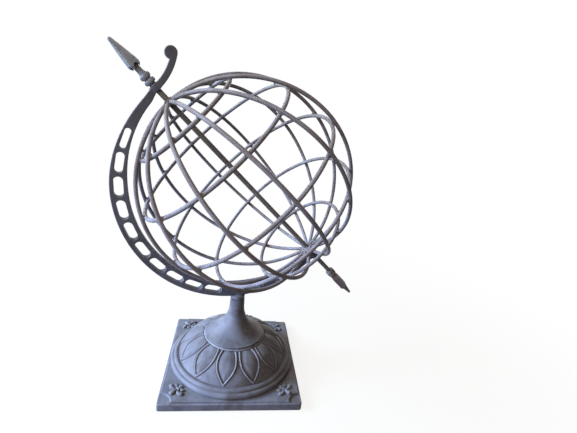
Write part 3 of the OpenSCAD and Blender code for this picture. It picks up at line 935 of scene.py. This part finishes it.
face_gap = 0.1
foot_h = 6.3
foot_inset = 0.2
foot_r = stem_top_r - foot_inset
foot_low = stem_top + face_gap
foot_top = foot_low + foot_h
foot_low_edge = 0.7
foot_top_edge = 1.5
foot_shoulder = [(-3.2, 1.2), (-5.0, 2.6)]
grub_turn = -127.0
grub_hole_r = 2.1
head_seat = along_arrow("arrow_head")[0]
south_boss_top = along_arrow("thrust_washer")[0]
south_boss_l = 17.8
south_boss_end = south_boss_top - south_boss_l
north_boss_end = arm_r + hook_step - hook_w / 2
bore_in = arm_r - 30.0
bore_out = arm_r + 40.0
pivot_bore_from = stem_top - 1.0
pivot_bore_to = highest("arm_pivot") + 0.5


def collar_profile():
    """The round foot of the arm, which narrows into the bar above it."""
    low = foot_r - foot_low_edge
    high = foot_top - foot_top_edge
    return np.concatenate((
        [(low, foot_low)],
        arc((low, foot_low + foot_low_edge), foot_low_edge, -45, 0, 3),
        [(foot_r, high)],
        arc((foot_r - foot_top_edge, high), foot_top_edge, 20, 80, 4),
        np.add(foot_shoulder, (foot_r, foot_top)),
    ))


def beside(points):
    """A turned shape laid level from the stem's axis towards the arm's grub screw."""
    angle = math.radians(grub_turn) + math.atan2(level[1], level[0])
    out = np.array((math.cos(angle), math.sin(angle), 0))
    side = np.array((-math.sin(angle), math.cos(angle), 0))
    return np.array((0, 0, foot_low + foot_h / 2)) + np.asarray(points) @ np.array((side, up, out))


def beside_shaft(points):
    """A turned shape laid across the arrow towards the back, at the lower boss's middle."""
    middle = (south_boss_top + south_boss_end) / 2
    return on_arrow(np.asarray(points)[:, [0, 2, 1]] + (0, 0, middle))


arm = add_piece("arm_casting", arm_plate(), on_arm, "arm_and_arrow", arm_iron, ["arm"])
carve(arm, [
    ("UNION", "collar", plug(collar_profile()), upright),
    ("UNION", "upper_boss", boss(boss_r, north_boss_end, head_seat), on_arrow),
    ("UNION", "lower_boss", boss(boss_r, south_boss_end, south_boss_top), on_arrow),
    ("DIFFERENCE", "upper_bore", bored(shaft_hole_r, bore_in, bore_out), on_arrow),
    ("DIFFERENCE", "lower_bore", bored(shaft_hole_r, -bore_out, -bore_in), on_arrow),
    ("DIFFERENCE", "pivot_bore", bored(pivot_hole_r, pivot_bore_from, pivot_bore_to), upright),
    ("DIFFERENCE", "grub_hole", bored(grub_hole_r, 0, 2 * foot_r), beside),
    ("DIFFERENCE", "shaft_grub_hole", bored(grub_hole_r, 0, 2 * boss_r), beside_shaft),
])
shade(arm, 42)
# Rounded edges paler: wear and painted highlight.
mark_edges(arm, behind, 0.9)

# Arrow head and tail

blade_sharpness = 0.8
blade_blunt = 0.012
end_gap = 0.05


def star(angle):
    """A four-bladed outline as a share of its largest radius, and 1 on the blades to 0 between them."""
    c = np.sqrt(np.cos(angle) ** 2 + blade_blunt) ** blade_sharpness
    s = np.sqrt(np.sin(angle) ** 2 + blade_blunt) ** blade_sharpness
    half_power = blade_sharpness / 2
    largest = ((1 + blade_blunt) ** half_power + blade_blunt ** half_power) ** (1 / blade_sharpness)
    outline = largest / (c + s) ** (1 / blade_sharpness)
    return outline, (outline - outline.min()) / (1 - outline.min())


def collar_rings(places, rings, waist):
    """Radius of round collars along the arrow, from rows of middle, half length and radius, on a waist."""
    total = np.zeros_like(places)
    for middle, half, radius in rings:
        off = np.abs(places - middle) / half
        bulge = waist + (radius - waist) * np.sqrt(np.clip(1 - off ** 3, 0, 1))
        total = np.maximum(total, np.where(off < 1, bulge, 0))
    return total


def arrow_end(points, seat, tip):
    """A casting of rings along the arrow, closed at its seat and its tip."""
    casting = Casting()
    casting.cap(casting.grid(points), (0, 0, seat), (0, 0, tip))
    return casting


head_tip = along_arrow("arrow_head")[1]
head_l = head_tip - head_seat
head_half = 9.5
head_turn = 65.0
head_broad = 34.0
barb_root = 33.5
barb_l = 6.5
barb_tuck = 0.4
barb_least = 0.25
tip_r = 2.3
tip_l = 9.0
neck_from = 22.0
# Painted shade on the neck: where it starts and over what length it deepens.
neck_shade_from = 20.0
neck_shade_l = 8.0
head_rings = [(5.4, 3.3, 8.0), (13.6, 3.4, 7.7)]
head_waist = [(0, 5.0), (9.4, 5.3), (17, 5.6), (21, 4.3), (barb_root, 4.1)]


def blade_half(places):
    """Reach of the spearhead's blades from the arrow's axis, along it."""
    narrowing = np.clip((places - head_broad) / (head_l - head_broad), 0, 1)
    rounding = np.clip((head_broad - places) / (head_broad - barb_root + barb_l), 0, 1)
    side = tip_r + (head_half - tip_r) * (1 - narrowing ** 1.12)
    left = (head_l - places) / tip_r
    end = np.sqrt(np.clip(left, 0, 1) * np.clip(2 - left, 1, 2))
    return side * (1 - barb_tuck * rounding ** 2.8) * np.minimum(end, 1)


def head_casting(segments=144):
    """Two collar rings, a neck, and a long spearhead whose four blades end in barbs round the neck."""
    angle = full_turn(segments)
    outline, fin = star(angle - math.radians(head_turn))
    places = np.concatenate((np.linspace(end_gap, neck_from, 90), np.linspace(neck_from + 0.5, barb_root, 8)))
    waist = np.interp(places, *np.transpose(head_waist))
    round_r = np.maximum(waist, collar_rings(places, head_rings, waist))
    neck_r = round_r[-1]
    bar = around_axis(round_r[:, None], angle, places[:, None])
    rear = barb_root - barb_l * (1 - (1 - fin) ** 1.7)
    under = np.linspace(0, 1, 10)[1:, None]
    shoulder_r = np.maximum(blade_half(rear) * outline, neck_r + barb_least)
    back = barb_root + (rear - barb_root) * under ** 0.7
    barbs = around_axis(neck_r + (shoulder_r - neck_r) * under, angle, back)
    ahead = 1 - (1 - np.linspace(0, 1, 74)[1:, None]) ** 1.25
    reach = rear + (head_l - end_gap - rear) * ahead
    rounder = 0.5 * ease((reach - head_l + tip_l) / tip_l)
    blades = around_axis(blade_half(reach) * (outline + (1 - outline) * rounder), angle, reach)
    points = np.concatenate((bar, barbs, blades))
    points[:, :, 2] += head_seat
    # Painted highlight: paler blade edges and tip.
    proud = np.zeros(points.shape[:2])
    proud[len(bar) + len(barbs) - 1:] = ease((fin - 0.6) / 0.4)
    # Painted shade: darker collar and neck towards the barbs, and dark barb undersides.
    shaded = np.zeros(points.shape[:2])
    shaded[:len(bar)] = np.maximum(0.35, ease((places - neck_shade_from) / neck_shade_l))[:, None]
    shaded[len(bar):len(bar) + len(barbs) - 2] = 1
    casting = arrow_end(points, head_seat + end_gap, head_tip)
    casting.marks = {"wear_and_highlight": np.append(proud, (0, 1)), "hollow": np.append(shaded, (0, 0))}
    return casting


head = head_casting()
add_piece("arrow_head_casting", head, on_arrow, "arm_and_arrow", head_iron_with_painted_light, ["arrow_head"], crease=55)

tail_tip, tail_seat = along_arrow("arrow_tail")
tail_l = tail_seat - tail_tip
tail_waist = 6.4
tail_neck = 13.8
tail_vane = 44.0
tail_half = 8.5
tail_turn = 30.0
collars_end = 16.0
vanes_end = 60.0
tail_rings = [(3.1, 3.0, 8.0), (9.3, 3.2, 8.0)]
tail_bar_r = 6.0
tail_bar_l = 10.0
spike = [(0, 5.2), (tail_neck + tail_vane - 4.2, 5.2), (tail_l - 1.6, 2.2), (tail_l, 1.9)]
spike_end = 2.2
spike_round = 1.8


def tail_casting(segments=112):
    """Two collar rings, four nearly straight vanes with round ends, and a blunt spike."""
    places = np.unique(np.concatenate((
        np.linspace(end_gap, collars_end, 70),
        np.linspace(collars_end, vanes_end, 90),
        np.linspace(vanes_end, tail_l - spike_end, 20),
        np.linspace(tail_l - spike_end, tail_l - end_gap, 12),
    )))
    spike_r = np.interp(places, *np.transpose(spike))
    spike_r *= np.sqrt(np.clip((tail_l - places) / spike_round, 0, 1))
    core_r = np.where(places > tail_bar_l, spike_r, tail_bar_r)
    round_r = np.maximum(collar_rings(places, tail_rings, tail_waist), core_r)[:, None]
    share = np.clip((places - tail_neck) / tail_vane, 0, 1)
    root = 0.88 + 0.12 * ease(share / 0.3)
    corner = np.sqrt(np.clip(1 - (np.clip(share - 0.85, 0, 1) / 0.15) ** 2, 0, 1))
    vane_r = tail_half * root * corner * ((share > 0) & (share < 1))
    angle = full_turn(segments)
    outline, fin = star(angle - math.radians(tail_turn))
    vanes = vane_r[:, None] * outline
    points = around_axis(np.maximum(round_r, vanes), angle, tail_seat - places[:, None])
    # Painted highlight: paler vane edges, collar rings and spike tip.
    proud = ease((fin - 0.75) / 0.25) * (vanes >= round_r)
    proud[places < tail_neck - 1] = 0.8
    casting = arrow_end(points, tail_seat - end_gap, tail_tip)
    casting.marks = {"wear_and_highlight": np.append(0.7 * proud, (0, 0.5))}
    return casting


tail = tail_casting()
add_piece("arrow_tail_casting", tail, on_arrow, "arm_and_arrow", tail_iron_with_painted_light, ["arrow_tail"], crease=55)

# Cage of bars

rod_count = 12
rod_r = 3.0
ring_r = 3.0
cage_turn = 8.5
globe_r = np.linalg.norm(node_points("meridian_rod_01") - globe, axis=1).max() - rod_r
ring_names = [
    "north_polar_ring", "north_tropic_ring", "equator_ring", "south_tropic_ring", "south_polar_ring",
]
tube_sides = 18
thickness_play = 0.02
rod_sag = 0.22
rod_drift = 0.5
rod_true_end = 0.08
rod_gap = 0.04
ring_sag = 0.15
ring_lean = 0.35
weld_h = 2.3
weld_inset = 0.2
weld_reach = (3.9, 4.5)
north_hub_r = 6.5
south_hub_margin = 0.4
south_hub_r = rod_r / math.sin(math.pi / rod_count) + south_hub_margin
hub_half = 4.5
hub_bore_r = 4.05
hub_edge = 1.2
north_grip = 0.8
south_grip = 0.6


def tube(middles, outward, aside, half_out, half_aside, closed):
    """An oval tube along a row of middles, closed into a ring or with flat ends."""
    angle = full_turn(tube_sides)
    points = (
        middles[:, None]
        + half_out[:, None, None] * np.cos(angle)[:, None] * outward[:, None]
        + half_aside[:, None, None] * np.sin(angle)[:, None] * aside[:, None]
    )
    casting = Casting()
    rows = casting.grid(points, closed_rows=closed)
    if not closed:
        casting.cap(rows, middles[0], middles[-1])
    return casting


def rod_azimuth(number):
    return math.radians(cage_turn) + (number - 1) * TURN / rod_count


def on_globe(latitude, azimuth):
    """Directions outward from the globe's centre and level along its surface."""
    flat = around_axis(1, azimuth, 0)
    outward = np.cos(latitude)[..., None] * flat + np.sin(latitude)[..., None] * up
    return outward, np.cross(up, flat)


def rod_casting(number):
    """Half a hoop from the lower hub to the upper one, where it narrows between its neighbours."""
    start = math.acos((south_hub_r - south_grip) / globe_r)
    end = math.acos((north_hub_r - north_grip) / globe_r)
    latitude = np.linspace(-start, end, 190)
    places = (latitude + start) / (end + start)
    bent = ease(places / rod_true_end) * ease((1 - places) / rod_true_end)
    sag = rod_sag * (1 + wander(places, 10 + number)) * bent
    drift = rod_drift * wander(places, 40 + number) * bent / globe_r
    azimuth = rod_azimuth(number) + drift / np.maximum(np.cos(latitude), 0.2)
    outward, aside = on_globe(latitude, azimuth)
    middles = (globe_r - sag)[:, None] * outward
    thick = rod_r * (1 + thickness_play * wander(places, 70 + number, 9))
    room = globe_r * np.cos(latitude) * math.tan(math.pi / rod_count) - rod_gap
    return tube(middles, outward, aside, np.minimum(thick, rod_r), np.minimum(thick, room), False)


def ring_place(node):
    """Height of a level ring along the arrow, and its radius."""
    points = node_points(node) - globe
    along = points @ north
    from_axis = np.linalg.norm(points - along[:, None] * north, axis=1)
    return (along.min() + along.max()) / 2, (from_axis.min() + from_axis.max()) / 2


def ring_casting(node, seed):
    """A level ring, bent a little out of round and out of level."""
    height, radius = ring_place(node)
    places = np.linspace(0, 1, 260, endpoint=False)
    outward = around_axis(1, TURN * places, 0)
    aside = np.tile(up, (len(places), 1))
    lean = ring_lean * wander(places, seed)
    reach = radius - ring_sag - ring_sag * wander(places, seed + 1)
    middles = reach[:, None] * outward + (height + lean)[:, None] * aside
    thick = ring_r * (1 + thickness_play * wander(places, seed + 2, 9))
    return tube(middles, outward, aside, thick, thick, True)


def weld_bead(casting, middle, outward, aside, seed):
    """A flattened lump of weld metal in the corners of a crossing."""
    draw = np.random.RandomState(seed)
    rise = np.linspace(-0.46, 0.46, 9)[:, None] * math.pi
    angle = full_turn(18)
    across = np.cross(aside, outward)
    size = draw.uniform(*weld_reach, 2)
    lobes = 1 + 0.09 * np.cos(4 * angle + math.pi) + 0.06 * np.sin(2 * angle + draw.uniform(0, TURN))
    spread = around_axis(np.cos(rise) * lobes, angle, weld_h * np.sin(rise))
    rows = casting.grid(middle + spread @ np.array((size[0] * aside, size[1] * across, outward)))
    casting.cap(rows, middle - weld_h * outward, middle + weld_h * outward)


def weld_casting():
    """The beads inside the cage, one at each crossing of a rod and a ring."""
    casting = Casting()
    for ring_number, node in enumerate(ring_names):
        latitude = np.arctan2(*ring_place(node))
        for number in range(1, rod_count + 1):
            outward, aside = on_globe(latitude, rod_azimuth(number))
            middle = (globe_r - rod_r - weld_inset) * outward
            weld_bead(casting, middle, outward, aside, 100 * ring_number + number)
    return casting


def hub_casting(outer, middle):
    """A bush on the arrow's shaft, with rounded outer edges."""
    low = middle - hub_half
    high = middle + hub_half
    outside = round_edged(outer, low, high, hub_edge, 6)
    return lathed(np.vstack((outside, [(hub_bore_r, high), (hub_bore_r, low)])), 72)


for number in range(1, rod_count + 1):
    node = f"meridian_rod_{number:02d}"
    add_piece(f"bent_rod_{number:02d}", rod_casting(number), on_arrow, "cage", bar_coat, [node])
for number, node in enumerate(ring_names):
    add_piece(f"{node}_bar", ring_casting(node, 200 + 10 * number), on_arrow, "cage", bar_coat, [node])
add_piece("weld_beads", weld_casting(), on_arrow, "cage", weld_scale)
upper_hub = hub_casting(north_hub_r, globe_r)
lower_hub = hub_casting(south_hub_r, -globe_r)
add_piece("upper_hub_bush", upper_hub, on_arrow, "cage", bar_coat, ["north_hub"])
add_piece("lower_hub_disc", lower_hub, on_arrow, "cage", bar_coat, ["south_hub"])

# CAD pieces that keep their shape

steel_nodes = [
    "stem_bolt", "stem_washer", "plinth_screws", "arm_pivot",
    "arm_grub_screw", "shaft_grub_screw", "thrust_washer",
]
for node in ["arrow_shaft"] + steel_nodes:
    materials = frame["nodes"][node].data.materials
    materials.clear()
    materials.append(bright_steel if node in steel_nodes else shaft_coat)

# Floor, light and camera


def shown_directly(finish):
    """1 for rays that see the background straight or mirrored, 0 for those that light things."""
    rays = ("Is Camera Ray", "Is Glossy Ray", "Is Transmission Ray")
    straight, mirrored, through = [finish.node("ShaderNodeLightPath", output=ray) for ray in rays]
    return straight + mirrored + through


def pale_floor(half):
    """A floor that shows nearly white, keeps the object's shadow and throws little light back."""
    corners = [(x * half, y * half, 0) for x, y in ((-1, -1), (1, -1), (1, 1), (-1, 1))]
    mesh = bpy.data.meshes.new("floor")
    mesh.from_pydata(corners, [], [(0, 1, 2, 3)])
    floor = new_object("floor", mesh)
    finish = Finish(bpy.data.materials.new("pale_floor"))
    distance = finish.node("ShaderNodeVectorMath", {"operation": "LENGTH"}, {0: finish.place()}, output=1)
    whiteness = finish.between(distance, 0.2, 1.0, to_low=0.86, to_high=1.0)
    shown = shown_directly(finish)
    tone = finish.mix(shown, (0.07, 0.063, 0.055, 1), (0.95, 0.88, 0.7, 1))
    paint = finish.node("ShaderNodeBsdfDiffuse", None, {"Color": tone})
    white = finish.node("ShaderNodeEmission", None, {"Color": (1, 1, 1, 1), "Strength": 1.0})
    surface = finish.node("ShaderNodeMixShader", None, {0: shown * whiteness, 1: paint, 2: white})
    finish.node("ShaderNodeOutputMaterial", None, {"Surface": surface})
    floor.data.materials.append(finish.owner)


def white_world(ambient):
    """A world that shows white and gives only a faint light of its own."""
    finish = Finish(bpy.data.worlds.new("white_room"))
    bpy.context.scene.world = finish.owner
    soft = finish.node("ShaderNodeBackground", None, {"Color": (0.86, 0.92, 1.0, 1), "Strength": ambient})
    white = finish.node("ShaderNodeBackground", None, {"Color": (1, 1, 1, 1), "Strength": 1.0})
    surface = finish.node("ShaderNodeMixShader", None, {0: shown_directly(finish), 1: soft, 2: white})
    finish.node("ShaderNodeOutputWorld", None, {"Surface": surface})


pale_floor(6.0)
white_world(0.005)
middle = (0, 0, 0.25)
# Square lamps: name, place, aim, size, watts, colour and beam angle in degrees
lamps = [
    ("low_left", (-1.5, -0.546, 0.172), (0, 0, -1.0), 0.5, 30, (0.41, 0.55, 1.0), 90),
    ("window_left", (-1.81, 0.0, 0.905), (0, 0, -1.88), 0.6, 48, (0.4, 0.63, 1.0), 90),
    ("globe_left", (-1.6, -0.2, 1.5), (0, 0, 1.56), 0.6, 34, (0.7, 0.87, 1.0), 90),
    ("back_left", (-1.5, 0.866, 1.06), middle, 0.8, 20, (0.84, 0.88, 1.0), 180),
    ("back_right", (0.8, 1.55, 0.8), middle, 0.8, 8, (1.0, 0.84, 0.74), 180),
    ("high_front", (-0.5785, -1.002, 1.629), middle, 0.8, 8.5, (1.0, 0.79, 0.64), 180),
    ("front_left", (-0.94, -1.628, 0.934), middle, 1.0, 8.6, (0.98, 0.95, 0.98), 180),
]
for name, place, aim, size, watts, colour, beam in lamps:
    lamp = bpy.data.lights.new(name, "AREA")
    lamp.shape = "SQUARE"
    lamp.size = size
    lamp.spread = math.radians(beam)
    lamp.energy = watts
    lamp.color = colour
    holder = new_object(name, lamp)
    holder.location = place
    holder.rotation_euler = (Vector(aim) - Vector(place)).to_track_quat("-Z", "Y").to_euler()

view = bpy.data.cameras.new("photo_view")
view.sensor_width = 36.0
view.lens = 22.72
camera = new_object("photo_view", view)
stand = Vector((-0.02654, -0.57645, 0.47849))
turn = Euler([math.radians(angle) for angle in (72.499, -7.022, -7.533)])
camera.matrix_world = Matrix.LocRotScale(stand, turn, None)
bpy.context.scene.camera = camera
bpy.context.scene.view_settings.view_transform = "Standard"
